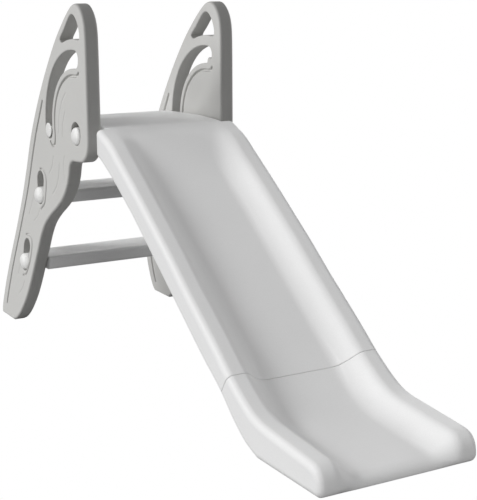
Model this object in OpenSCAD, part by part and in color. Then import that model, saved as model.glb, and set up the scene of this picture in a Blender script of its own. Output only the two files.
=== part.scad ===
// Straight folding slide for toddlers.
// Millimetres, +Z up. Origin: floor level, at the middle of the space the slide takes up.
// +X points down the chute, -Y is the left-hand side when looking up the chute.

/* [Ladder panels] */
// Overall width over the two panels above the leg flare
frame_w = 320; // [312:1:340]
// Thickness of a panel
panel_t = 29.3; // [27:0.1:32]
// How far each foot splays outwards at the floor
splay = 44.35; // [0:0.05:48]
// Height where the leg starts to splay
splay_z = 400; // [380:5:400]
// Wall of the hollow moulded parts
wall = 3; // [2.4:0.2:3.2]

/* [Fold] */
// Pivot of the chute, distance from the rear end of the soles
pivot_x = 350.5; // [349.5:0.5:351.5]
// Pivot height above the floor
pivot_z = 433.5; // [433.5:0.5:436]
// Pivot shank radius
pivot_r = 14; // [12:0.5:14]
// Running clearance round a shank, radial
run_gap = 0.05; // [0.02:0.01:0.1]
// Inner radius of the guide slot
slot_ri = 118; // [116:0.5:118]
// Outer radius of the guide slot
slot_ro = 153.5; // [153:0.5:156]

/* [Steps] */
// Top of the lower step above the floor
step1_top = 152; // [150:1:154]
// Top of the upper step above the floor
step2_top = 303.5; // [301:0.5:306]
// Thickness of the lower step
step1_h = 28; // [26:1:29]
// Thickness of the upper step
step2_h = 26.5; // [26:0.5:28]

/* [Chute] */
// Outer half width of the chute in front of the panels
chute_hw = 150; // [148:1:152]
// Half width of the platform between the panels
plat_hw = 129; // [126:0.5:129.5]
// Depth of the sliding bed below the side rails
bed_d = 29; // [24:1:30]
// Slope of the joint between the two chute sections, degrees
joint_a = 35.6; // [34:0.1:37]

/* [Hidden] */
$fn = 64;
yo = frame_w / 2;            // outer face of a panel, upper part
yi = yo - panel_t;           // inner face
grey = [0.78, 0.77, 0.75];
white = [0.93, 0.93, 0.93];
steel = [0.62, 0.63, 0.65];
// guide slot centre, and the guide stud at rest
slot_c = [346, 445.5];
guide = [212, 431];
slot_rm = (slot_ri + slot_ro) / 2;
slot_hw = (slot_ro - slot_ri) / 2;
slot_a0 = 186.2;
slot_a1 = 87.5;
// step studs: x, seat z
stud1 = [94.8, 134];
stud2 = [155.5, 287.3];
neck_r = 11;
seat_gap = 0.05;
key_w = 18;                  // half width of a keyhole recess
// keyhole recess: lowest and highest centre, and depth of the floor from the centre plane
key1 = [131.5, 165.5, 160];
key2 = [285.5, 320.5, 144];
shank_r = 7;
// chute joint, at the top of the rails
joint_p = [933, 0, 112.5];

// shapes are drawn from the rear end of the soles of the feet, then moved back by mid_x
mid_x = 595.25;
module centred() { translate([-mid_x, 0, 0]) children(); }

// ---- curves ----
// Catmull-Rom point between b and c
function crm(a, b, c, d, t) =
  0.5 * (2 * b + (c - a) * t + (2 * a - 5 * b + 4 * c - d) * t * t
         + (3 * b - a - 3 * c + d) * t * t * t);
// open smooth curve through the points of p, n steps per span
function curve(p, n) = let (m = len(p)) concat(
  [for (i = [0 : m - 2]) for (k = [0 : n - 1])
    crm(p[max(i - 1, 0)], p[i], p[i + 1], p[min(i + 2, m - 1)], k / n)],
  [p[m - 1]]);
// closed smooth curve
function loop(p, n) = let (m = len(p))
  [for (i = [0 : m - 1]) for (k = [0 : n - 1])
    crm(p[(i + m - 1) % m], p[i], p[(i + 1) % m], p[(i + 2) % m], k / n)];
function unit(v) = v / max(norm(v), 1e-9);
function area2(p) = let (m = len(p))
  [for (i = 0, s = 0; i <= m; s = s + (i < m ? p[i][0] * p[(i + 1) % m][1] - p[(i + 1) % m][0] * p[i][1] : 0), i = i + 1) s][m];
// every point of a closed outline moved inwards by g (outwards if g is negative)
function inset(p, g) = let (m = len(p), sg = area2(p) > 0 ? 1 : -1)
  [for (i = [0 : m - 1])
    let (a = unit(p[i] - p[(i + m - 1) % m]), b = unit(p[(i + 1) % m] - p[i]),
         na = sg * [-a[1], a[0]], nb = sg * [-b[1], b[0]],
         n = unit(na + nb), c = max(n * na, 0.5))
    p[i] + n * (g / c)];
// side splay of a leg at height z
function flare(z) = z < splay_z ? splay * pow((splay_z - z) / splay_z, 2) : 0;
// rounded rectangle from corner a to corner b
function rrect(a, b, r) = [for (q = [[b[0] - r, b[1] - r, 0], [a[0] + r, b[1] - r, 90], [a[0] + r, a[1] + r, 180], [b[0] - r, a[1] + r, 270]])
  for (k = [0 : 5]) [q[0] + r * cos(q[2] + 18 * k), q[1] + r * sin(q[2] + 18 * k)]];

// ---- ladder panel, worked out on the +Y side ----
// side outline of a panel: up the rear edge, over the top, down the front
panel_path = curve([[0, 0], [-7, 14], [-9.5, 45], [-7, 85], [4.6, 142], [25, 206], [47, 269],
  [69, 331], [93.5, 393], [122, 444], [155, 494], [199, 552], [249, 609], [288, 645],
  [318, 669], [343, 684], [366, 687], [385, 678], [400, 660], [407.5, 635], [409.5, 590], [410, 520],
  [410.5, 450], [409, 420], [400.5, 400], [380, 386], [350, 382], [328, 380], [315, 370],
  [308, 345], [296, 320], [277, 297], [250, 276], [215, 253], [188, 230], [171, 203],
  [160, 172], [149, 138], [138, 98], [126, 62], [108, 29], [90, 9], [72, 0]], 3);
// hand-hold opening near the top
window_path = loop([[286, 613], [284.5, 619], [303, 634.5], [321, 651], [334, 662], [345, 666.5],
  [357, 664], [369, 654], [377, 641], [380.5, 629], [378, 621], [369, 619.4], [350, 620.5],
  [332, 619.2], [312, 615.8], [294, 611]], 2);

// slab between two faces that follow the splay, g in from each face
module splay_slab(g) {
  zs = concat([-20], [for (z = [0 : 25 : splay_z]) z], [720]);
  rotate([90, 0, 90]) translate([0, 0, -40]) linear_extrude(520)
    polygon(concat([for (z = zs) [yo + flare(z) - g, z]],
                   [for (i = [len(zs) - 1 : -1 : 0]) [yi + flare(zs[i]) + g, zs[i]]]));
}
// upright plate: a side outline pulled along Y from y0 to y1
module plate(p, y0, y1) { translate([0, y1, 0]) rotate([90, 0, 0]) linear_extrude(y1 - y0) polygon(p); }
// round bar along Y
module bar(x, z, r, y0, y1) { translate([x, y0, z]) rotate([-90, 0, 0]) cylinder(r = r, h = y1 - y0); }
// upright slot along Y, from height za to zb
module upslot(x, za, zb, r, y0, y1) {
  bar(x, za, r, y0, y1);
  bar(x, zb, r, y0, y1);
  translate([x - r, y0, za]) cube([2 * r, y1 - y0, zb - za]);
}
// curved guide slot, grown by g
module guide_slot(g, y0, y1) {
  intersection() {
    difference() {
      bar(slot_c[0], slot_c[1], slot_ro + g, y0, y1);
      bar(slot_c[0], slot_c[1], slot_ri - g, y0 - 1, y1 + 1);
    }
    plate([[slot_c[0], slot_c[1]],
           for (a = [slot_a1, 120, 150, slot_a0]) [slot_c[0] + 200 * cos(a), slot_c[1] + 200 * sin(a)]], y0, y1);
  }
  for (a = [slot_a0, slot_a1])
    bar(slot_c[0] + slot_rm * cos(a), slot_c[1] + slot_rm * sin(a), slot_hw + 0.05 + g, y0, y1);
}
// keyhole for a step stud: outer recess, through entry above, narrow neck slot below
module keyhole(s, key) {
  upslot(s[0], key[0], key[1], key_w, key[2], 260);
  bar(s[0], key[1], key_w, 100, 260);
  upslot(s[0], s[1], key[1], neck_r + seat_gap, 100, 260);
}
module panel() {
  difference() {
    intersection() { plate(panel_path, 100, 260); splay_slab(0); }
    difference() {
      intersection() { plate(inset(panel_path, wall), 100, 260); splay_slab(wall); }
      guide_slot(wall, 90, 270);
      plate(inset(window_path, -wall), 90, 270);
      bar(351.5, 438, 23 + wall, 90, 270);
      upslot(stud1[0], key1[0], key1[1], key_w + wall, 90, 270);
      upslot(stud2[0], key2[0], key2[1], key_w + wall, 90, 270);
    }
    guide_slot(0, 100, 260);
    plate(window_path, 100, 260);
    // pivot: recess from outside and a bearing bore in the inner flange
    bar(351.5, 438, 23, yo - 20, 260);
    bar(pivot_x, pivot_z, pivot_r + run_gap, 100, 260);
    keyhole(stud1, key1);
    keyhole(stud2, key2);
  }
}
module side_panel_right() { color(grey) centred() panel(); }
module side_panel_left() { color(grey) centred() mirror([0, 1, 0]) panel(); }

// ---- steps ----
// hollow step board with ends that follow the splay of the legs
module step_board(x0, x1, z0, z1, s) {
  g = 0.4;
  difference() {
    intersection() {
      plate(rrect([x0, z0], [x1, z1], 6), -170, 170);
      translate([-10, 0, 0]) rotate([90, 0, 90]) linear_extrude(400)
        polygon([[yi + flare(z0) - g, z0 - 1], [yi + flare(z1) - g, z1 + 1],
                 [-yi - flare(z1) + g, z1 + 1], [-yi - flare(z0) + g, z0 - 1]]);
    }
    difference() {
      intersection() {
        plate(rrect([x0 + wall, z0 + wall], [x1 - wall, z1 - wall], 3), -170, 170);
        translate([-10, 0, 0]) rotate([90, 0, 90]) linear_extrude(400)
          polygon([[yi + flare(z0) - g - wall, z0 - 1], [yi + flare(z1) - g - wall, z1 + 1],
                   [-yi - flare(z1) + g + wall, z1 + 1], [-yi - flare(z0) + g + wall, z0 - 1]]);
      }
      for (m = [0, 1]) mirror([0, m, 0]) bar(s[0], s[1], 10.4, yi - 38, 170);
    }
    for (m = [0, 1]) mirror([0, m, 0]) bar(s[0], s[1], shank_r + 0.02, yi - 32, 170);
  }
}
module step_lower() { color(white) centred() step_board(67, 158, step1_top - step1_h, step1_top, stud1); }
module step_upper() { color(white) centred() step_board(114, 220, step2_top - step2_h, step2_top, stud2); }

// ---- studs ----
// domed stud along +Y: pairs of [radius, end] from the inside out, then a domed head
module stud(x, z, y0, segs, hr, hy0, rim, apex) {
  prof = concat([[0, y0]],
    [for (i = [0 : len(segs) - 1]) each [[segs[i][0], i == 0 ? y0 : segs[i - 1][1]], [segs[i][0], segs[i][1]]]],
    [[hr, hy0]],
    [for (a = [0 : 9 : 90]) [hr * cos(a), rim + (apex - rim) * sin(a)]]);
  translate([x, 0, z]) rotate([-90, 0, 0]) rotate_extrude() polygon(prof);
}
module step_stud(s, shoulder, floor_y, rim) {
  stud(s[0], s[1], shoulder - 30, [[shank_r, shoulder + 0.2], [neck_r, floor_y + 0.3]], 17.3, floor_y + 0.3, rim, rim + 11);
}
module lower_stud() { step_stud(stud1, yi + flare(stud1[1] - 12) , key1[2], 179.3); }
module upper_stud() { step_stud(stud2, yi + flare(stud2[1] - 12), key2[2], 163.3); }
module step_lower_stud_right() { color(white) centred() lower_stud(); }
module step_lower_stud_left() { color(white) centred() mirror([0, 1, 0]) lower_stud(); }
module step_upper_stud_right() { color(white) centred() upper_stud(); }
module step_upper_stud_left() { color(white) centred() mirror([0, 1, 0]) upper_stud(); }
module pivot_stud() {
  stud(pivot_x, pivot_z, plat_hw - 31, [[10, plat_hw + 0.1], [pivot_r, yo - 19.7]], 17.3, yo - 19.7, yo - 2.5, yo + 7);
}
module guide_stud() {
  stud(guide[0], guide[1], plat_hw - 31, [[shank_r, plat_hw + 0.1], [shank_r + 0.4, yo + 0.4]], 14.5, yo + 0.4, yo + 1, yo + 3.2);
}
module pivot_stud_right() { color(white) centred() pivot_stud(); }
module pivot_stud_left() { color(white) centred() mirror([0, 1, 0]) pivot_stud(); }
module guide_stud_right() { color(white) centred() guide_stud(); }
module guide_stud_left() { color(white) centred() mirror([0, 1, 0]) guide_stud(); }

// ---- chute ----
// design rows: rail top x, rail top z, tilt of the cross-section, bed depth, total depth
upper_rows = [[421, 456, 0, 1, 56], [440, 454, 8, 5, 59], [460, 447, 18, 10, 58],
  [480, 436, 26, 16, 55], [500, 423, 31, 21, 52.5], [525, 406.5, 34, bed_d - 3, 51],
  [560, 382, 35, bed_d - 0.5, 50.5], [640, 326.5, 35.2, bed_d, 50.5], [720, 270, 35.4, bed_d, 51.5],
  [800, 212, joint_a, bed_d, 52], [870, 161, joint_a, bed_d, 51], [933, 112.5, joint_a, bed_d, 48.5]];
lower_rows = [[933.3, 112.3, joint_a, bed_d, 48.5], [950, 101, 33, bed_d, 51], [968, 90, 29, bed_d + 0.5, 54.5],
  [988, 79, 23.5, bed_d + 1, 58.5], [1008, 70.5, 16, bed_d + 1.5, 62.5], [1030, 64.5, 8, bed_d + 2, 66],
  [1055, 61, 1, bed_d + 2, 63], [1085, 58.3, 0, bed_d + 2, 61], [1120, 55.5, 0, bed_d + 1.5, 58],
  [1150, 53, 0, bed_d + 1.5, 56], [1170, 50.5, 0, bed_d + 3, 53], [1184, 46.5, 0, bed_d + 2, 50],
  [1194, 38, 0, 31, 42], [1200, 27, 0, 24.5, 30]];
// half cross-section: distance from the centre, share of the bed depth, or of the underside
function half_ring(d, t, w) = concat(
  [[60, -d], [78, -d * 0.905], [92, -d * 0.681], [102, -d * 0.407], [109, -d * 0.124], [113.5, 0],
   [w - 10, 0], [w - 4, -2.4], [w, -min(10, t / 3)], [w, -t + min(8, t / 3)], [w - 2.4, -t + 2.4], [w - 8, -t]]);
function ring2(d, t, w) = let (h = half_ring(d, t, w), m = len(h)) concat(
  [[0, -d]], h, [[0, -t]], [for (i = [m - 1 : -1 : 0]) [-h[i][0], h[i][1]]]);
// one cross-section placed in space, g inside the skin
function ring3(r, g) = [for (q = (g == 0 ? ring2(r[3], r[4], chute_hw) : inset(ring2(r[3], r[4], chute_hw), g)))
  [r[0] + q[1] * sin(r[2]), q[0], g == 0 ? max(0, r[1] + q[1] * cos(r[2])) : max(g, r[1] + q[1] * cos(r[2]))]];
// triangles that close one end of a ring of 26 points
cap_half = concat([[13, 0, 1], [13, 1, 12]], [for (k = [1 : 10]) [12, k, k + 1]]);
function flip(k) = (26 - k) % 26;
cap_tris = concat(cap_half, [for (t = cap_half) [flip(t[0]), flip(t[2]), flip(t[1])]]);
// closed skin through a list of rings
module skin(rings) {
  m = len(rings[0]);
  n = len(rings);
  polyhedron(points = [for (r = rings) each r],
    faces = concat([for (t = cap_tris) [t[2], t[1], t[0]]],
      [for (i = [0 : n - 2]) for (k = [0 : m - 1]) each
        [[i * m + k, i * m + (k + 1) % m, (i + 1) * m + (k + 1) % m],
         [i * m + k, (i + 1) * m + (k + 1) % m, (i + 1) * m + k]]],
      [for (t = cap_tris) [(n - 1) * m + t[0], (n - 1) * m + t[1], (n - 1) * m + t[2]]]), convexity = 6);
}
module at_joint() { translate(joint_p) rotate([0, joint_a, 0]) children(); }
// platform between the panels, side outline
platform_path = loop([[150, 434], [154, 445], [170, 450.5], [212, 453.5], [280, 456.5], [343, 457.5],
  [390, 456.8], [412, 455.8], [424, 453], [433, 440], [436, 425], [433, 410], [424, 402], [405, 400.5],
  [343, 401], [280, 402], [212, 403.5], [170, 406], [154, 412], [150, 422]], 2);
screw_y = [-72, -24, 24, 72];
module chute_upper() {
  rows = curve(upper_rows, 2);
  color(white) centred() difference() {
    union() {
      plate(platform_path, -plat_hw, plat_hw);
      skin([for (r = rows) ring3(r, 0)]);
    }
    difference() {
      union() {
        plate(inset(platform_path, wall), -plat_hw + wall, plat_hw - wall);
        skin([for (i = [1 : len(rows) - 2]) ring3(rows[i], wall)]);
      }
      for (m = [0, 1]) mirror([0, m, 0]) {
        bar(pivot_x, pivot_z, 14, plat_hw - 36, 170);
        bar(guide[0], guide[1], 12, plat_hw - 36, 170);
      }
      at_joint() translate([-45, -100, -70]) cube([60, 200, 100]);
    }
    for (m = [0, 1]) mirror([0, m, 0]) {
      bar(pivot_x, pivot_z, 10.02, plat_hw - 32, 170);
      bar(guide[0], guide[1], shank_r + 0.02, plat_hw - 32, 170);
    }
    at_joint() {
      translate([-41, -95.6, -43.3]) cube([50, 191.2, 10.1]);
      for (y = screw_y) translate([-20, y, 0]) {
        translate([0, 0, -70]) cylinder(r = 7, h = 24.2);
        translate([0, 0, -50]) cylinder(r = 2.8, h = 10);
      }
    }
  }
}
module chute_lower() {
  rows = curve(lower_rows, 2);
  color(white) centred() difference() {
    union() {
      skin([for (r = rows) ring3(r, 0)]);
      at_joint() translate([-40, -95, -43]) cube([43, 190, 9.5]);
    }
    skin([for (i = [1 : len(rows) - 7]) ring3(rows[i], wall)]);
    at_joint() for (y = screw_y) translate([-20, y, -44]) cylinder(r = 2.52, h = 9.7);
  }
}
module chute_joint_screws() {
  color(steel) centred() at_joint() for (y = screw_y) translate([-20, y, 0]) {
    translate([0, 0, -48.6]) cylinder(r = 4.75, h = 1.8);
    translate([0, 0, -47]) cylinder(r = 2.5, h = 12.4);
  }
}
module chute_joint_washers() {
  color(steel) centred() at_joint() for (y = screw_y) translate([-20, y, -46.8]) difference() {
    cylinder(r = 6, h = 1);
    translate([0, 0, -1]) cylinder(r = 2.8, h = 3);
  }
}

side_panel_left();
side_panel_right();
step_lower();
step_upper();
step_lower_stud_left();
step_lower_stud_right();
step_upper_stud_left();
step_upper_stud_right();
chute_upper();
chute_lower();
pivot_stud_left();
pivot_stud_right();
guide_stud_left();
guide_stud_right();
chute_joint_screws();
chute_joint_washers();
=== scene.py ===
import math

import bmesh
import bpy
import numpy as np
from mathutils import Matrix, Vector


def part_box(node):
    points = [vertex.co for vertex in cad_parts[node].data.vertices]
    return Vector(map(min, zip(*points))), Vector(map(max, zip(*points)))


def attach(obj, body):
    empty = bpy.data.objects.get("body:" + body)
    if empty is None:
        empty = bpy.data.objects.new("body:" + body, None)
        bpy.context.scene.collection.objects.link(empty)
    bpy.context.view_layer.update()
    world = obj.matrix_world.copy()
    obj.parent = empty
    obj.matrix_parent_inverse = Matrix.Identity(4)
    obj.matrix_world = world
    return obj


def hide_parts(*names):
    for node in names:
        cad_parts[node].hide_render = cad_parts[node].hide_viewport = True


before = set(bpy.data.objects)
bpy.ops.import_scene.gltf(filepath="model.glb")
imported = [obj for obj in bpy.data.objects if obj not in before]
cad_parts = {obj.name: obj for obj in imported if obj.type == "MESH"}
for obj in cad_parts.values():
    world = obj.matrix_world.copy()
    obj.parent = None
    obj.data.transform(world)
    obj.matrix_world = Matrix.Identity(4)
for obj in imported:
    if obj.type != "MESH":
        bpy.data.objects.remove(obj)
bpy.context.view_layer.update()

MM = 0.001
MID = 595.25  # shapes are drawn from the rear end of the soles; the shared frame's origin is the middle


# ---------------------------------------------------------------- curves
def smooth(points, n, closed=False):
    """Catmull-Rom curve through points, n steps a span."""
    p = np.asarray(points, float)
    m = len(p)
    out = []
    for i in range(m if closed else m - 1):
        if closed:
            a, b, c, d = p[(i - 1) % m], p[i], p[(i + 1) % m], p[(i + 2) % m]
        else:
            a, b, c, d = p[max(i - 1, 0)], p[i], p[i + 1], p[min(i + 2, m - 1)]
        for k in range(n):
            t = k / n
            out.append(
                0.5
                * (
                    2 * b
                    + (c - a) * t
                    + (2 * a - 5 * b + 4 * c - d) * t * t
                    + (3 * b - a - 3 * c + d) * t**3
                )
            )
    if not closed:
        out.append(p[-1])
    return np.array(out)


def arc(c, r, a0, a1, n):
    """Points of a circular arc, angles in degrees."""
    t = np.radians(np.linspace(a0, a1, n))
    return np.stack([c[0] + r * np.cos(t), c[1] + r * np.sin(t)], 1)


# ---------------------------------------------------------------- distance fields
def dist2(P, V, closed=True):
    """Distance from each point to a polyline; inside a closed one it is negative."""
    best = np.full(len(P), 1e12)
    inside = np.zeros(len(P), bool)
    px, pz = P[:, 0], P[:, 1]
    ends = np.roll(V, -1, 0)
    for i in range(len(V) if closed else len(V) - 1):
        (ax, az), (bx, bz) = V[i], ends[i]
        ex, ez = bx - ax, bz - az
        wx, wz = px - ax, pz - az
        t = np.clip((wx * ex + wz * ez) / max(ex * ex + ez * ez, 1e-12), 0, 1)
        np.minimum(best, (wx - t * ex) ** 2 + (wz - t * ez) ** 2, out=best)
        if closed and az != bz:
            inside ^= ((az > pz) != (bz > pz)) & (px < ex * (pz - az) / ez + ax)
    d = np.sqrt(best)
    return np.where(inside, -d, d) if closed else d


def rmax(a, b, r):
    """Where two solids meet in an intersection, a round edge of radius r."""
    return np.minimum(np.maximum(a, b), -r) + np.sqrt(
        np.maximum(a + r, 0) ** 2 + np.maximum(b + r, 0) ** 2
    )


def smax(a, b, k):
    h = np.maximum(k - np.abs(a - b), 0) / k
    return np.maximum(a, b) + h * h * k * 0.25


def smin(a, b, k):
    return -smax(-a, -b, k)


class Plane:
    """Fields over a regular 2-D grid, read anywhere by bicubic interpolation."""

    def __init__(self, us, vs, to_xz):
        self.u0, self.v0 = us[0], vs[0]
        self.hu, self.hv = us[1] - us[0], vs[1] - vs[0]
        self.us, self.vs = us, vs
        U, V = np.meshgrid(us, vs, indexing="ij")
        self.P = np.stack(to_xz(U.ravel(), V.ravel()), 1)
        self.f = {}

    def add(self, name, values):
        self.f[name] = values.reshape(len(self.us), len(self.vs))

    def at(self, u, v):
        """All fields at points (u, v)."""
        a = (u - self.u0) / self.hu
        b = (v - self.v0) / self.hv
        i = np.clip(np.floor(a).astype(int), 1, len(self.us) - 3)
        j = np.clip(np.floor(b).astype(int), 1, len(self.vs) - 3)
        s, t = np.clip(a - i, 0, 1), np.clip(b - j, 0, 1)

        def w(x):
            return (
                0.5 * (-x + 2 * x * x - x**3),
                0.5 * (2 - 5 * x * x + 3 * x**3),
                0.5 * (x + 4 * x * x - 3 * x**3),
                0.5 * (-x * x + x**3),
            )

        ws, wt = w(s), w(t)
        out = {}
        for name, g in self.f.items():
            acc = 0.0
            for m in range(4):
                row = 0.0
                for n in range(4):
                    row = row + wt[n] * g[i + m - 1, j + n - 1]
                acc = acc + ws[m] * row
            out[name] = acc
        return out


def nets(F, xs, ys, zs):
    """Quads of the surface F = 0 over a grid of any spacing, F negative inside."""
    S = F < 0
    nx, ny, nz = F.shape
    cnt = np.zeros((nx - 1, ny - 1, nz - 1), np.int8)
    for a in (0, 1):
        for b in (0, 1):
            for c in (0, 1):
                cnt += S[a : nx - 1 + a, b : ny - 1 + b, c : nz - 1 + c]
    mix = (cnt > 0) & (cnt < 8)
    cell = np.nonzero(mix)
    ids = np.full(mix.shape, -1, np.int64)
    ids[mix] = np.arange(len(cell[0]))
    pos = np.zeros((len(cell[0]), 3))
    num = np.zeros(len(cell[0]))
    G = (xs, ys, zs)
    for ax in range(3):
        o1, o2 = [k for k in range(3) if k != ax]
        for b1 in (0, 1):
            for b2 in (0, 1):
                lo = [c.copy() for c in cell]
                lo[o1] += b1
                lo[o2] += b2
                hi = [c.copy() for c in lo]
                hi[ax] += 1
                fa, fb = F[tuple(lo)], F[tuple(hi)]
                m = (fa < 0) != (fb < 0)
                t = fa[m] / (fa[m] - fb[m])
                q = np.zeros((m.sum(), 3))
                q[:, ax] = G[ax][lo[ax][m]] * (1 - t) + G[ax][hi[ax][m]] * t
                q[:, o1] = G[o1][lo[o1][m]]
                q[:, o2] = G[o2][lo[o2][m]]
                pos[m] += q
                num[m] += 1
    V = pos / num[:, None]
    quads = []
    for ax in range(3):
        o1, o2 = (ax + 1) % 3, (ax + 2) % 3
        lo = [slice(None)] * 3
        hi = [slice(None)] * 3
        lo[ax], hi[ax] = slice(0, -1), slice(1, None)
        Sa, Sb = S[tuple(lo)], S[tuple(hi)]
        e = np.nonzero(Sa != Sb)
        keep = (
            (e[o1] >= 1)
            & (e[o1] <= F.shape[o1] - 2)
            & (e[o2] >= 1)
            & (e[o2] <= F.shape[o2] - 2)
        )
        e = [k[keep] for k in e]
        out = Sa[tuple(e)]
        c = []
        for d1, d2 in ((-1, -1), (0, -1), (0, 0), (-1, 0)):
            k = [v.copy() for v in e]
            k[o1] += d1
            k[o2] += d2
            c.append(ids[tuple(k)])
        q = np.stack(c, 1)
        q[~out] = q[~out][:, ::-1]
        quads.append(q)
    return V, np.vstack(quads)


def settle(V, fun, rounds=3, eps=0.3, limit=1.2):
    """Moves points along the field's slope onto its zero surface."""
    for _ in range(rounds):
        f = fun(V)
        g = np.empty_like(V)
        for k in range(3):
            d = np.zeros(3)
            d[k] = eps
            g[:, k] = (fun(V + d) - fun(V - d)) / (2 * eps)
        step = -f / np.maximum((g * g).sum(1), 0.08)
        move = g * step[:, None]
        size = np.linalg.norm(move, axis=1)
        move *= np.minimum(1, limit / np.maximum(size, 1e-9))[:, None]
        V = V + move
    return V


def make(name, V, Q, body, stands_for):
    """A mesh piece in metres from points in millimetres."""
    me = bpy.data.meshes.new(name)
    me.vertices.add(len(V))
    me.vertices.foreach_set("co", ((np.asarray(V) - [MID, 0, 0]) * MM).astype(np.float32).ravel())
    me.loops.add(Q.size)
    me.loops.foreach_set("vertex_index", Q.astype(np.int32).ravel())
    me.polygons.add(len(Q))
    me.polygons.foreach_set(
        "loop_start", np.arange(0, Q.size, Q.shape[1], dtype=np.int32)
    )
    me.polygons.foreach_set("use_smooth", np.ones(len(Q), bool))
    me.update(calc_edges=True)
    me.validate()
    ob = bpy.data.objects.new(name, me)
    bpy.context.scene.collection.objects.link(ob)
    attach(ob, body)
    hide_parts(*stands_for)
    return ob


def steps_of(*parts):
    """Grid lines from (start, end, spacing) runs that follow on from each other."""
    out = []
    for a, b, h in parts:
        n = max(1, int(round((b - a) / h)))
        out.append(np.linspace(a, b, n + 1)[:-1])
    out.append([parts[-1][1]])
    return np.concatenate(out)


# ---------------------------------------------------------------- side panels
FACE_OUT, FACE_IN = 160.0, 130.7
SPLAY, SPLAY_Z = 44.35, 400.0
outline = smooth(
    [[0, 0], [-7, 14], [-9.5, 45], [-7, 85], [4.6, 142], [25, 206], [47, 269],
     [69, 331], [93.5, 393], [122, 444], [155, 494], [199, 552], [249, 609], [288, 645],
     [318, 669], [343, 684], [366, 687], [385, 678], [400, 660], [407.5, 635], [409.5, 590], [410, 520],
     [410.5, 450], [409, 420], [400.5, 400], [380, 386], [350, 382], [328, 380], [315, 370],
     [308, 345], [296, 320], [277, 297], [250, 276], [215, 253], [188, 230], [171, 203],
     [160, 172], [149, 138], [138, 98], [126, 62], [108, 29], [90, 9], [72, 0]], 5)
window = smooth(
    [[286, 613], [284.5, 619], [303, 634.5], [321, 651], [334, 662], [345, 666.5],
     [357, 664], [369, 654], [377, 641], [380.5, 629], [378, 621], [369, 619.4], [350, 620.5],
     [332, 619.2], [312, 615.8], [294, 611]], 6, True)
SLOT_C, SLOT_RI, SLOT_RO = (346.0, 445.5), 118.0, 153.5
slot_mid, slot_half = (SLOT_RI + SLOT_RO) / 2, (SLOT_RO - SLOT_RI) / 2
_end = (SLOT_C[0] + slot_mid * math.cos(math.radians(186.2)),
        SLOT_C[1] + slot_mid * math.sin(math.radians(186.2)))
slot_line = np.vstack([
    arc(SLOT_C, SLOT_RO, 186.2, 90.5, 90),
    smooth([[352, 599], [360, 597.6], [366.5, 593.5], [370.2, 587], [370.6, 579.5], [368.4, 572],
            [363, 566.8], [355, 563.9]], 5),
    arc(SLOT_C, SLOT_RI, 91.5, 186.2, 80),
    arc(_end, slot_half, 6.2, -173.8, 26)[1:-1],
])
# a raised catch on the inner side of the slot: the guide stud comes to rest against it when folded
catch = smooth([[327, 556], [334, 561.6], [343, 563.7], [349.5, 564.2], [352.4, 567], [353.8, 572], [358, 576],
                [366, 575], [372, 571], [372, 560], [362, 554], [345, 551]], 4, True)
back_line = smooth([[177, 486], [157, 452], [136, 417], [118, 381], [104.5, 349], [90, 308], [75, 267],
                    [59, 225], [44.5, 182], [31.5, 140], [22.5, 98], [20, 70], [18.6, 44], [19.5, 27]], 5)
arch_line = np.vstack([
    smooth([[373, 557], [366, 551.5], [356, 549.6]], 4)[:-1],
    arc(SLOT_C, 104, 88, 182, 60),
    smooth([[242, 436], [243.5, 420], [240, 406], [231, 400], [222, 402], [217, 407]], 4),
])
ring3 = smooth([[153.7, 342.1], [163, 343], [171.1, 341.2], [182.8, 333.9], [188.3, 322], [188.8, 311], [187.6, 301.6],
                [184.7, 280.8], [180, 271.5], [174.2, 266.3], [163.1, 259.3]], 4)
ring4 = smooth([[85.1, 190.3], [96, 192], [107, 190.9], [118, 186], [123, 178], [124.2, 165], [122.4, 145], [117.4, 128],
                [110, 113], [101, 104.5], [90, 102.8]], 4)
STUD1, STUD2 = (94.8, 134.0), (155.5, 287.3)
KEY1, KEY2 = (131.5, 165.5, 160.0), (285.5, 320.5, 144.0)
# shallow generic moulded strokes that break up the big flat faces
strokes = [
    smooth([[262, 430], [268, 462], [283, 492], [305, 513]], 5),
    smooth([[282, 424], [287, 452], [300, 476]], 5),
    smooth([[300, 330], [288, 346], [284, 366], [290, 386]], 5),
    smooth([[226, 300], [246, 318], [258, 342], [262, 368]], 5),
    smooth([[206, 340], [222, 356], [230, 378]], 5),
    smooth([[128, 228], [146, 240], [158, 258]], 5),
    smooth([[96, 236], [110, 262], [124, 288]], 5),
    smooth([[62, 100], [70, 128], [80, 156]], 5),
    smooth([[84, 62], [96, 74], [104, 92]], 5),
]


def flare(z):
    return np.where(z < SPLAY_Z, SPLAY * ((SPLAY_Z - np.minimum(z, SPLAY_Z)) / SPLAY_Z) ** 2, 0.0)


def upslot(x, z, cx, za, zb, r):
    return np.hypot(x - cx, z - np.clip(z, za, zb)) - r


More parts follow.
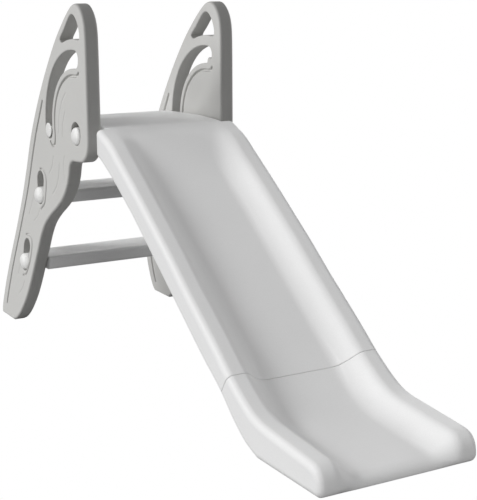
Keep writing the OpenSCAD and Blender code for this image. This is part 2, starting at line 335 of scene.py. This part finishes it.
def panel_field(x, u, z, f):
    """u is the distance from the centre plane with the splay of the leg taken out."""
    y = u + flare(z)
    slab = np.abs(u - (FACE_OUT + FACE_IN) / 2) - (FACE_OUT - FACE_IN) / 2
    F = rmax(f["outline"], slab, 5.6)
    F = np.maximum(F, rmax(-f["window"], slab, 2.6))
    hole = f["slot"]
    inner = smax(f["catch"], u - 146.5, 2.0)
    F = np.maximum(F, rmax(-smax(hole, -inner, 1.5), slab, 2.4))
    # pivot recess, shank bore behind it
    rec = np.maximum(f["pivot"] - 23.0, 140.2 - u)
    F = smax(F, -rec, 1.8)
    F = np.maximum(F, -(f["shank"] - 14.4))
    # step studs: recess, entry hole and neck slot
    for s, (za, zb, floor), name in ((STUD1, KEY1, "key1"), (STUD2, KEY2, "key2")):
        rec = np.maximum(f[name], floor - y)
        F = smax(F, -rec, 1.8)
        F = np.maximum(F, -(np.hypot(x - s[0], z - zb) - 17.8))
        F = np.maximum(F, -upslot(x, z, s[0], s[1], zb, 11.3))
    # engraved lines
    out = np.clip((u - 148) / 6, 0, 1)
    inn = np.clip((142 - u) / 6, 0, 1)
    F = F + 5.0 * np.exp(-((f["deep"] / 2.5) ** 4)) * np.maximum(out, inn)
    F = F + 3.4 * np.exp(-((f["rings"] / 1.9) ** 2)) * out
    F = F + 0.9 * np.exp(-((f["soft"] / 1.8) ** 2)) * out
    return F


def build_panel():
    h = 1.15
    us = np.arange(-14, 416 + h, h)
    vs = np.arange(-5, 692 + h, h)
    pl = Plane(us, vs, lambda a, b: (a, b))
    P = pl.P
    pl.add("outline", dist2(P, outline))
    pl.add("window", dist2(P, window))
    pl.add("slot", dist2(P, slot_line))
    pl.add("catch", dist2(P, catch))
    pl.add("pivot", np.hypot(P[:, 0] - 351.5, P[:, 1] - 438))
    pl.add("shank", np.hypot(P[:, 0] - 350.5, P[:, 1] - 433.5))
    for name, s, (za, zb, _) in (("key1", STUD1, KEY1), ("key2", STUD2, KEY2)):
        # a keyhole: full width at both ends with a slight waist between
        d = upslot(P[:, 0], P[:, 1], s[0], za, zb, 17.9)
        waist = 1.8 * np.exp(-(((P[:, 1] - (za * 0.45 + zb * 0.55)) / 7.0) ** 2))
        pl.add(name, d + waist * (P[:, 0] > s[0] - 30))
    pl.add("deep", np.minimum(dist2(P, back_line, False), dist2(P, arch_line, False)))
    pl.add("rings", np.minimum(dist2(P, ring3, False), dist2(P, ring4, False)))
    soft = np.full(len(P), 1e3)
    for s in strokes:
        np.minimum(soft, dist2(P, s, False), out=soft)
    pl.add("soft", soft)
    ys = steps_of((129.2, 136.4, 1.2), (136.4, 154.4, 2.25), (154.4, 161.6, 1.2))
    X, Z = us[:, None, None], vs[None, None, :]
    U = ys[None, :, None]
    F = panel_field(X, U, Z, {k: g[:, None, :] for k, g in pl.f.items()})
    V, Q = nets(F, us, ys, vs)
    fun = lambda p: panel_field(p[:, 0], p[:, 1], p[:, 2], pl.at(p[:, 0], p[:, 2]))
    V = settle(V, fun, 3)
    V[:, 2] = np.maximum(V[:, 2], 0.0)
    V[:, 1] += flare(V[:, 2])
    return V, Q


V, Q = build_panel()
panel_r = make("side_panel_right_moulded", V, Q, "ladder", ["side_panel_right"])
V = V * np.array([1, -1, 1])
panel_l = make("side_panel_left_moulded", V, Q[:, ::-1], "ladder", ["side_panel_left"])


# ---------------------------------------------------------------- steps
def build_step(node, name):
    lo, hi = (np.array(c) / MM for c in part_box(node))
    x0, x1, z0, z1 = lo[0] + MID, hi[0] + MID, lo[2], hi[2]
    xs = steps_of((x0 - 2, x0 + 12, 1.2), (x0 + 12, x1 - 12, 2.8), (x1 - 12, x1 + 2, 1.2))
    zs = np.arange(z0 - 2.4, z1 + 3.6, 1.2)
    e = 168.0
    ys = steps_of((-e, -114, 1.5), (-114, 114, 6), (114, e, 1.5))

    def field(x, y, z):
        g = FACE_IN + flare(z) - 0.4
        cx, cz = (x0 + x1) / 2, (z0 + z1) / 2
        a, b = np.abs(x - cx) - (x1 - x0) / 2, np.abs(z - cz) - (z1 - z0) / 2
        body = rmax(a, b, 7.0)
        body = rmax(body, np.abs(y) - g, 2.5)
        ribs = 0.45 * (1 + np.cos(2 * np.pi * (x - cx) / 9.0))
        inside = np.clip(-np.maximum(np.abs(x - cx) - ((x1 - x0) / 2 - 13), np.abs(y) - 106) / 2.0, 0, 1)
        return body + ribs * inside * (z > cz)

    F = field(xs[:, None, None], ys[None, :, None], zs[None, None, :])
    V, Q = nets(F, xs, ys, zs)
    V = settle(V, lambda p: field(p[:, 0], p[:, 1], p[:, 2]), 3, 0.2)
    return make(name, V, Q, "ladder", [node])


step_objs = [
    build_step("step_lower", "step_lower_moulded"),
    build_step("step_upper", "step_upper_moulded"),
]


# ---------------------------------------------------------------- chute
ANG = math.radians(33.0)
CA, SA = math.cos(ANG), math.sin(ANG)
JX, JZ = 933.0, 112.5
JC, JS = math.cos(math.radians(35.6)), math.sin(math.radians(35.6))
rail_top = smooth(
    [[421, 436], [421, 445], [422.4, 450.2], [426.5, 453.6], [432, 453.6], [442, 449.8], [456, 444], [475, 436], [497, 423.4],
     [519, 408], [553, 385.4], [588, 361.9], [621, 339.2], [654, 316], [686, 293.6], [718, 271], [751, 246.4],
     [784, 221.5], [830, 188.6], [883, 150.6], [933, 112.5], [950, 101], [964, 92], [984, 80.2], [1005, 70],
     [1022, 65], [1040, 61.8], [1074, 59], [1107, 56.3], [1139, 53.7], [1160, 52], [1172, 50.8], [1183, 47.8],
     [1191.8, 41.6], [1198.4, 31.5], [1201.4, 20], [1201.6, 10], [1198, 3.5], [1192, 0]], 5)
under = smooth(
    [[1022, 0], [999, 7.6], [976.5, 18.2], [943, 41.5], [905, 74], [872, 97], [840, 118], [754, 181], [668, 244],
     [582, 307], [557, 323.5], [532, 340], [489, 367.5], [461, 383], [441, 393.5], [421, 402]], 5)
bed_top = smooth(
    [[395, 456.7], [412, 455.6], [424, 453.4], [434, 450], [446, 444], [458, 436], [473, 421.8], [489.2, 405.6],
     [512, 384.6], [543.7, 359.4], [583, 331.6], [623.3, 302.8], [663, 274.8], [703.2, 246.4], [743, 217.4],
     [783.1, 188.4], [853.1, 137.4], [884.6, 113.2], [916.1, 88.9], [934.5, 75.8], [953.7, 63.4], [976, 50.6],
     [999.6, 40.6], [1025.7, 34], [1054.5, 30.2], [1085, 27.5], [1120, 25], [1150, 22.4], [1168, 20.2],
     [1178, 18.4], [1185.6, 15.2], [1190.8, 10.2], [1193.4, 4.6], [1193.6, 0]], 5)
rail_poly = np.vstack([rail_top, under])
bed_poly = np.vstack([[[395, 402]], bed_top, under[:-1], [[421, 402]]])
platform = smooth(
    [[150, 434], [154, 445], [170, 450.5], [212, 453.5], [280, 456.5], [343, 457.5],
     [390, 456.8], [412, 455.7], [424, 453.4], [433, 440], [436, 425], [433, 410], [424, 402], [405, 400.5],
     [343, 401], [280, 402], [212, 403.5], [170, 406], [154, 412], [150, 422]], 5, True)

# share of the bed's depth across the chute: its slope grows under the rail's inner edge, holds, and fades into the bed
_y = np.linspace(0, 170, 1701)
def spread(ys, slopes, widths):
    k = np.interp(_y, ys, slopes)
    s = 1 - np.cumsum(k) / k.sum()
    for width in widths:
        kernel = np.hanning(width)
        kernel /= kernel.sum()
        s = np.convolve(np.pad(s, width // 2, mode="edge"), kernel, mode="valid")
    return s


_s = spread([0, 60, 98, 105, 120.5, 170], [0, 0, 1, 1, 0, 0], (61, 31))
_crisp = spread([0, 76, 100, 112, 122, 170], [0, 0, 1, 1, 0, 0], (41,))


def share(x, y):
    """The rail's inner wall is short and crisp at the crest and widens down the chute."""
    t = np.clip((x - 430) / 110, 0, 1)
    t = t * t * (3 - 2 * t)
    y = np.abs(y)
    return t * np.interp(y, _y, _s) + (1 - t) * np.interp(y, _y, _crisp)


def chute_solid(x, y, z, f):
    s = share(x, y)
    a = (1 - s) * f["rail"] + s * f["bed"]
    a = rmax(a, np.abs(y) - 150.0, 12.5)
    b = rmax(f["platform"], np.abs(y) - 129.0, 11.0)
    return smin(a, b, 4.0)


def upper_field(p, q, y, f):
    """p runs down the chute from the joint, q square to it."""
    x = JX + p * CA + q * SA
    z = JZ - p * SA + q * CA
    F = chute_solid(x, y, z, f)
    F = rmax(F, p + 0.35, 1.3)
    # screw pockets underneath
    lx, ln = (x - JX) * JC - (z - JZ) * JS, (x - JX) * JS + (z - JZ) * JC
    for sy in (24, 72):
        hole = np.hypot(lx + 20, np.abs(y) - sy) - 7.0
        F = np.maximum(F, -np.maximum(hole, ln + 45.8))
    return F


def lower_field(p, q, y, f):
    x = JX + p * CA + q * SA
    z = JZ - p * SA + q * CA
    F = chute_solid(x, y, z, f)
    return rmax(F, -p + 0.35, 1.3)


def build_chute(which):
    k = 0.85
    if which == "upper":
        ps = steps_of((-836, -560, 2.2 * k), (-560, -400, 2.4 * k), (-400, -10, 3.4 * k), (-10, 2, 0.6))
        q0, q1 = -219, 26
        grid_p = np.arange(-840, 6, 2.4 * k)
        fun = upper_field
    else:
        ps = steps_of((-2, 10, 0.6), (10, 150, 2.4 * k), (150, 292, 1.7 * k))
        q0, q1 = -52, 112
        grid_p = np.arange(-6, 300, 2.0 * k)
        fun = lower_field
    qs = np.arange(q0, q1, (2.1 if which == "upper" else 1.7) * k)
    grid_q = np.arange(q0 - 8, q1 + 8, 2.0 * k)
    half = steps_of((0, 54, 4.5), (54, 100, 2.3 * k), (100, 120, 1.4 * k), (120, 136, 2.3 * k), (136, 152.2, 1.35 * k))
    ys = np.concatenate([-half[:0:-1], half])
    pl = Plane(grid_p, grid_q, lambda a, b: (JX + a * CA + b * SA, JZ - a * SA + b * CA))
    pl.add("rail", dist2(pl.P, rail_poly))
    pl.add("bed", dist2(pl.P, bed_poly))
    pl.add("platform", dist2(pl.P, platform) if which == "upper" else np.full(len(pl.P), 1e3))
    A, B = np.meshgrid(ps, qs, indexing="ij")
    f2 = pl.at(A.ravel(), B.ravel())
    f3 = {n: v.reshape(A.shape)[:, None, :] for n, v in f2.items()}
    F = fun(ps[:, None, None], qs[None, None, :], ys[None, :, None], f3)
    # grid order is (p, y, q)
    V, Q = nets(F, ps, ys, qs)
    V = settle(V, lambda v: fun(v[:, 0], v[:, 2], v[:, 1], pl.at(v[:, 0], v[:, 2])), 3, 0.25)
    x = JX + V[:, 0] * CA + V[:, 2] * SA
    z = JZ - V[:, 0] * SA + V[:, 2] * CA
    return np.stack([x, V[:, 1], np.maximum(z, 0.0)], 1), Q


V, Q = build_chute("upper")
chute_u = make("chute_upper_moulded", V, Q, "chute", ["chute_upper"])
V, Q = build_chute("lower")
chute_l = make("chute_lower_moulded", V, Q, "chute", ["chute_lower"])


# ---------------------------------------------------------------- studs
def build_stud(node, name, body, neck, collar, dome):
    """A turned stud: shank, neck and a domed head with a soft rim, placed by the CAD node's box."""
    lo, hi = (np.array(c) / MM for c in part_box(node))
    cx, cz = (lo[0] + hi[0]) / 2, (lo[2] + hi[2]) / 2
    sgn = 1 if hi[1] > 0 else -1
    y0, y1 = (lo[1], hi[1]) if sgn > 0 else (-hi[1], -lo[1])
    R = (hi[0] - lo[0]) / 2
    prof = [(0, y0), (neck[0] - 1, y0), (neck[0], y0 + 1), (neck[0], neck[2]),
            (neck[1] - 0.6, neck[2]), (neck[1], neck[2] + 0.6), (neck[1], collar - 0.2), (neck[1] + 0.3, collar)]
    rim = y1 - dome
    prof += [(R - 1.2, collar), (R - 0.35, collar + 0.35), (R, collar + 1.2)]
    if rim > collar + 1.3:
        prof.append((R, rim))
    rim = max(rim, collar + 1.2)
    for t in np.linspace(0, 90, 19)[1:]:
        a = math.radians(t)
        prof.append((R * math.cos(a) ** 0.9, rim + (y1 - rim) * math.sin(a)))
    clean = [prof[0]]
    for r_, y_ in prof[1:]:
        clean.append((max(r_, 0.0), max(y_, clean[-1][1])))
    n = 64
    verts, faces = [], []
    verts.append((cx, sgn * clean[0][1], cz))
    rows = [q for q in clean[1:-1] if q[0] > 1e-3]
    for r_, y_ in rows:
        for k in range(n):
            a = 2 * math.pi * k / n
            verts.append((cx + r_ * math.cos(a), sgn * y_, cz + r_ * math.sin(a)))
    verts.append((cx, sgn * clean[-1][1], cz))
    bm = bmesh.new()
    bv = [bm.verts.new([c * MM for c in v]) for v in verts]
    m = len(rows)
    for k in range(n):
        k2 = (k + 1) % n
        bm.faces.new([bv[0], bv[1 + k2], bv[1 + k]])
        for j in range(m - 1):
            a, b = 1 + j * n, 1 + (j + 1) * n
            bm.faces.new([bv[a + k], bv[a + k2], bv[b + k2], bv[b + k]])
        bm.faces.new([bv[-1], bv[1 + (m - 1) * n + k], bv[1 + (m - 1) * n + k2]])
    bmesh.ops.recalc_face_normals(bm, faces=bm.faces)
    for f_ in bm.faces:
        f_.smooth = True
    me = bpy.data.meshes.new(name)
    bm.to_mesh(me)
    bm.free()
    ob = bpy.data.objects.new(name, me)
    bpy.context.scene.collection.objects.link(ob)
    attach(ob, body)
    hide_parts(node)
    return ob


studs = []
for side in ("left", "right"):
    studs.append(build_stud("pivot_stud_" + side, "pivot_stud_%s_turned" % side, "chute", (10, 14, 129.1), 140.3, 9.5))
    studs.append(build_stud("guide_stud_" + side, "guide_stud_%s_turned" % side, "chute", (7, 7.4, 129.1), 160.4, 2.2))
    studs.append(build_stud("step_lower_stud_" + side, "step_lower_stud_%s_turned" % side, "ladder", (7, 11, 152.3), 160.3, 11.0))
    studs.append(build_stud("step_upper_stud_" + side, "step_upper_stud_%s_turned" % side, "ladder", (7, 11, 135.2), 144.3, 11.0))


# ---------------------------------------------------------------- materials
def nodes_of(mat):
    mat.use_nodes = True
    nt = mat.node_tree
    nt.nodes.clear()
    return nt, nt.nodes, nt.links


def plastic(name, base, rough, grain, tint=0.02, scuff=0.0, edge=0.04):
    """Moulded plastic: slight colour drift, fine surface grain, faint scuffs and paler worn edges."""
    mat = bpy.data.materials.new(name)
    nt, N, L = nodes_of(mat)
    out = N.new("ShaderNodeOutputMaterial")
    bsdf = N.new("ShaderNodeBsdfPrincipled")
    L.new(bsdf.outputs["BSDF"], out.inputs["Surface"])
    co = N.new("ShaderNodeTexCoord")
    # large, faint colour drift
    drift = N.new("ShaderNodeTexNoise")
    drift.inputs["Scale"].default_value = 5.0
    drift.inputs["Detail"].default_value = 3.0
    L.new(co.outputs["Object"], drift.inputs["Vector"])
    ramp = N.new("ShaderNodeValToRGB")
    ramp.color_ramp.elements[0].position = 0.3
    ramp.color_ramp.elements[1].position = 0.7
    lo = [c * (1 - tint) for c in base]
    hi = [min(1, c * (1 + tint)) for c in base]
    ramp.color_ramp.elements[0].color = (*lo, 1)
    ramp.color_ramp.elements[1].color = (*hi, 1)
    L.new(drift.outputs["Fac"], ramp.inputs["Fac"])
    # fine mould speckle in the colour
    speck = N.new("ShaderNodeTexNoise")
    speck.inputs["Scale"].default_value = 420.0
    speck.inputs["Detail"].default_value = 2.0
    L.new(co.outputs["Object"], speck.inputs["Vector"])
    sp = N.new("ShaderNodeMapRange")
    sp.inputs["From Min"].default_value = 0.3
    sp.inputs["From Max"].default_value = 0.7
    sp.inputs["To Min"].default_value = 0.985
    sp.inputs["To Max"].default_value = 1.015
    L.new(speck.outputs["Fac"], sp.inputs["Value"])
    mul = N.new("ShaderNodeVectorMath")
    mul.operation = "SCALE"
    L.new(ramp.outputs["Color"], mul.inputs[0])
    L.new(sp.outputs["Result"], mul.inputs["Scale"])
    # worn, slightly paler edges
    geo = N.new("ShaderNodeNewGeometry")
    wear = N.new("ShaderNodeMapRange")
    wear.inputs["From Min"].default_value = 0.52
    wear.inputs["From Max"].default_value = 0.62
    wear.inputs["To Min"].default_value = 0.0
    wear.inputs["To Max"].default_value = edge
    L.new(geo.outputs["Pointiness"], wear.inputs["Value"])
    mix = N.new("ShaderNodeMix")
    mix.data_type = "RGBA"
    mix.inputs["B"].default_value = (0.95, 0.95, 0.95, 1)
    L.new(wear.outputs["Result"], mix.inputs["Factor"])
    L.new(mul.outputs["Vector"], mix.inputs["A"])
    L.new(mix.outputs["Result"], bsdf.inputs["Base Color"])
    # roughness, with long faint scuffs along the slide
    mapn = N.new("ShaderNodeMapping")
    mapn.inputs["Scale"].default_value = (6.0, 160.0, 60.0)
    L.new(co.outputs["Object"], mapn.inputs["Vector"])
    sc = N.new("ShaderNodeTexNoise")
    sc.inputs["Scale"].default_value = 1.0
    sc.inputs["Detail"].default_value = 4.0
    L.new(mapn.outputs["Vector"], sc.inputs["Vector"])
    rr = N.new("ShaderNodeMapRange")
    rr.inputs["From Min"].default_value = 0.35
    rr.inputs["From Max"].default_value = 0.75
    rr.inputs["To Min"].default_value = rough
    rr.inputs["To Max"].default_value = rough - scuff
    L.new(sc.outputs["Fac"], rr.inputs["Value"])
    L.new(rr.outputs["Result"], bsdf.inputs["Roughness"])
    bsdf.inputs["IOR"].default_value = 1.5
    bsdf.inputs["Specular IOR Level"].default_value = 0.35
    # moulded grain
    g1 = N.new("ShaderNodeTexNoise")
    g1.inputs["Scale"].default_value = grain
    g1.inputs["Detail"].default_value = 5.0
    g1.inputs["Roughness"].default_value = 0.6
    L.new(co.outputs["Object"], g1.inputs["Vector"])
    g2 = N.new("ShaderNodeTexVoronoi")
    g2.inputs["Scale"].default_value = grain * 0.8
    L.new(co.outputs["Object"], g2.inputs["Vector"])
    add = N.new("ShaderNodeMath")
    add.operation = "MULTIPLY_ADD"
    add.inputs[1].default_value = 0.45
    L.new(g2.outputs["Distance"], add.inputs[0])
    L.new(g1.outputs["Fac"], add.inputs[2])
    bump = N.new("ShaderNodeBump")
    bump.inputs["Strength"].default_value = 0.22
    bump.inputs["Distance"].default_value = 0.0004
    L.new(add.outputs["Value"], bump.inputs["Height"])
    # slow waviness of a blow-moulded wall
    w1 = N.new("ShaderNodeTexNoise")
    w1.inputs["Scale"].default_value = 14.0
    w1.inputs["Detail"].default_value = 1.0
    L.new(co.outputs["Object"], w1.inputs["Vector"])
    wave = N.new("ShaderNodeBump")
    wave.inputs["Strength"].default_value = 0.10
    wave.inputs["Distance"].default_value = 0.003
    L.new(w1.outputs["Fac"], wave.inputs["Height"])
    L.new(bump.outputs["Normal"], wave.inputs["Normal"])
    L.new(wave.outputs["Normal"], bsdf.inputs["Normal"])
    return mat


def metal(name, base):
    mat = bpy.data.materials.new(name)
    nt, N, L = nodes_of(mat)
    out = N.new("ShaderNodeOutputMaterial")
    bsdf = N.new("ShaderNodeBsdfPrincipled")
    L.new(bsdf.outputs["BSDF"], out.inputs["Surface"])
    bsdf.inputs["Metallic"].default_value = 1.0
    co = N.new("ShaderNodeTexCoord")
    no = N.new("ShaderNodeTexNoise")
    no.inputs["Scale"].default_value = 600.0
    no.inputs["Detail"].default_value = 4.0
    L.new(co.outputs["Object"], no.inputs["Vector"])
    ramp = N.new("ShaderNodeValToRGB")
    ramp.color_ramp.elements[0].color = (*[c * 0.85 for c in base], 1)
    ramp.color_ramp.elements[1].color = (*base, 1)
    L.new(no.outputs["Fac"], ramp.inputs["Fac"])
    L.new(ramp.outputs["Color"], bsdf.inputs["Base Color"])
    rr = N.new("ShaderNodeMapRange")
    rr.inputs["To Min"].default_value = 0.28
    rr.inputs["To Max"].default_value = 0.5
    L.new(no.outputs["Fac"], rr.inputs["Value"])
    L.new(rr.outputs["Result"], bsdf.inputs["Roughness"])
    return mat


GREY = (0.585, 0.582, 0.566)
WHITE = (0.84, 0.84, 0.84)
m_panel = plastic("panel_grey_moulded", GREY, 0.62, 900, 0.02, 0.03, 0.03)
m_slide = plastic("slide_white_moulded", WHITE, 0.5, 1100, 0.012, 0.08, 0.03)
m_step = plastic("step_white_moulded", WHITE, 0.56, 900, 0.012, 0.06, 0.03)
m_stud = plastic("stud_white_moulded", (0.88, 0.88, 0.87), 0.4, 1400, 0.008, 0.03, 0.02)
m_zinc = metal("zinc_steel_plated", (0.62, 0.63, 0.65))


def paint(ob, mat):
    ob.data.materials.clear()
    ob.data.materials.append(mat)


for ob in (panel_l, panel_r):
    paint(ob, m_panel)
for ob in (chute_u, chute_l):
    paint(ob, m_slide)
for ob in step_objs:
    paint(ob, m_step)
for ob in studs:
    paint(ob, m_stud)
for node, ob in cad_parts.items():
    mat = m_zinc
    if "panel" in node:
        mat = m_panel
    elif "stud" in node:
        mat = m_stud
    elif "chute_u" in node or "chute_l" in node or "step" in node:
        mat = m_slide
    if len(ob.material_slots):
        for s in ob.material_slots:
            s.material = mat
    else:
        ob.data.materials.append(mat)


# ---------------------------------------------------------------- stage
scene = bpy.context.scene
floor_me = bpy.data.meshes.new("floor")
bm = bmesh.new()
R = 14.0
bm.faces.new([bm.verts.new(c) for c in ((-R, -R, 0), (R, -R, 0), (R, R, 0), (-R, R, 0))])
bm.to_mesh(floor_me)
bm.free()
floor = bpy.data.objects.new("floor", floor_me)
floor.location.z = -0.0005
scene.collection.objects.link(floor)
fm = bpy.data.materials.new("floor_pale")
nt, N, L = nodes_of(fm)
out = N.new("ShaderNodeOutputMaterial")
dif = N.new("ShaderNodeBsdfDiffuse")
dif.inputs["Color"].default_value = (0.34, 0.34, 0.34, 1)
# the floor only bounces light: the studio behind it is the same white, and the folded chute
# reaches below it
clear = N.new("ShaderNodeBsdfTransparent")
lp = N.new("ShaderNodeLightPath")
pick = N.new("ShaderNodeMixShader")
L.new(lp.outputs["Is Camera Ray"], pick.inputs["Fac"])
L.new(dif.outputs["BSDF"], pick.inputs[1])
L.new(clear.outputs["BSDF"], pick.inputs[2])
L.new(pick.outputs["Shader"], out.inputs["Surface"])
floor_me.materials.append(fm)
floor.visible_shadow = False

world = bpy.data.worlds.new("studio")
scene.world = world
world.use_nodes = True
nt = world.node_tree
N, L = nt.nodes, nt.links
N.clear()
out = N.new("ShaderNodeOutputWorld")
bg = N.new("ShaderNodeBackground")
cam_bg = N.new("ShaderNodeBackground")
cam_bg.inputs["Color"].default_value = (1, 1, 1, 1)
cam_bg.inputs["Strength"].default_value = 1.0
lp = N.new("ShaderNodeLightPath")
pick = N.new("ShaderNodeMixShader")
bg.inputs["Color"].default_value = (1, 1, 1, 1)
bg.inputs["Strength"].default_value = 0.10
L.new(lp.outputs["Is Camera Ray"], pick.inputs["Fac"])
L.new(bg.outputs["Background"], pick.inputs[1])
L.new(cam_bg.outputs["Background"], pick.inputs[2])
L.new(pick.outputs["Shader"], out.inputs["Surface"])


# elevation, azimuth (0 is the camera's -Y side, 90 the foot of the chute), width, power
PANEL_LIGHTS = [
    (12, 0, 35, 0.13),
    (5, 20, 12, 0.09),
    (20, 355, 14, 0.64),
    (20, 335, 14, 0.85),
    (12, 315, 35, 1.06),
    (12, 180, 35, 0.90),
    (42, 135, 40, 0.22),
]
SLIDE_LIGHTS = [
    (5, 20, 12, 0.60),
    (28, 355, 14, 0.80),
    (36, 355, 14, 0.38),
    (36, 335, 14, 0.57),
    (42, 315, 40, 0.32),
    (12, 270, 35, 0.89),
    (12, 225, 35, 0.47),
    (12, 180, 35, 0.50),
    (42, 135, 40, 0.30),
    (12, 90, 35, 0.40),
    (85, 0, 60, 0.30),
]
STEP_LIGHTS = [
    (28, 335, 14, 0.95),
    (36, 335, 14, 0.24),
    (12, 270, 35, 1.20),
    (12, 225, 35, 0.80),
    (12, 180, 35, 1.20),
    (12, 90, 35, 0.48),
    (42, 135, 40, 0.22),
    (85, 0, 60, 0.80),
]
STUD_LIGHTS = [
    (12, 0, 35, 1.55),
    (42, 315, 40, 0.60),
    (42, 135, 40, 0.60),
    (12, 90, 35, 1.30),
    (12, 180, 35, 1.20),
    (85, 0, 60, 1.20),
]


def group(name, obs):
    c = bpy.data.collections.new(name)
    for o in obs:
        c.objects.link(o)
    return c


def soft(who, el, az, width, power):
    """A far, wide soft light at elevation el and azimuth az, width in degrees."""
    li = bpy.data.lights.new("soft_%s_%d_%d" % (who.name, el, az), "SUN")
    li.energy = power
    li.angle = math.radians(width)
    ob = bpy.data.objects.new(li.name, li)
    scene.collection.objects.link(ob)
    e, a = math.radians(el), math.radians(az)
    d = Vector((math.sin(a) * math.cos(e), -math.cos(a) * math.cos(e), math.sin(e)))
    ob.rotation_euler = (-d).to_track_quat("-Z", "Y").to_euler()
    ob.light_linking.receiver_collection = who


# grey and white plastic are lit a little differently, so that both keep their shading
on_panels = group("lit_panels", [panel_l, panel_r])
on_slide = group("lit_slide", [chute_u, chute_l, floor] + list(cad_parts.values()))
on_steps = group("lit_steps", step_objs)
on_studs = group("lit_studs", studs)
for who, rows in (
    (on_panels, PANEL_LIGHTS),
    (on_slide, SLIDE_LIGHTS),
    (on_steps, STEP_LIGHTS),
    (on_studs, STUD_LIGHTS),
):
    for row in rows:
        soft(who, *row)

cam = bpy.data.cameras.new("camera")
cam.lens = 89.24
cam.sensor_width = 36.0
cam.clip_end = 60
cam_ob = bpy.data.objects.new("camera", cam)
cam_ob.location = (2.5887 - MID * MM, -1.0818, 0.7551)
cam_ob.rotation_euler = (math.radians(90 - 12.87), 0, math.radians(60.09))
scene.collection.objects.link(cam_ob)
scene.camera = cam_ob
scene.view_settings.view_transform = "Standard"
scene.view_settings.look = "None"
